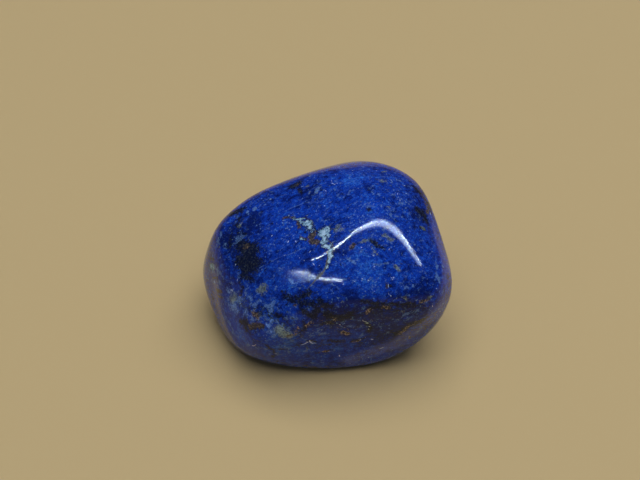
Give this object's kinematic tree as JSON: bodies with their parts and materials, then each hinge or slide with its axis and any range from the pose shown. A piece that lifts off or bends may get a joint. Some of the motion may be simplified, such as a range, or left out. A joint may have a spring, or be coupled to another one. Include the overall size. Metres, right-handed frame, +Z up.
{
  "type": "lapis lazuli stone",
  "caption": "Polished tumbled lapis lazuli stone, deep blue with dark patches, golden flecks and a pale calcite vein. It rests on a small flat.",
  "frame": {"origin": "centre of the stone's footprint, at the height of the surface that it rests on", "axes": "+X along the stone's length, to the right when its broad front flat is seen from the front; +Y to its back; +Z up"},
  "size_m": [0.0286, 0.023, 0.02],
  "materials": {
    "lapis": "polished"
  },
  "bodies": {
    "root": {"lapis_stone": "lapis"}
  },
  "joints": []
}
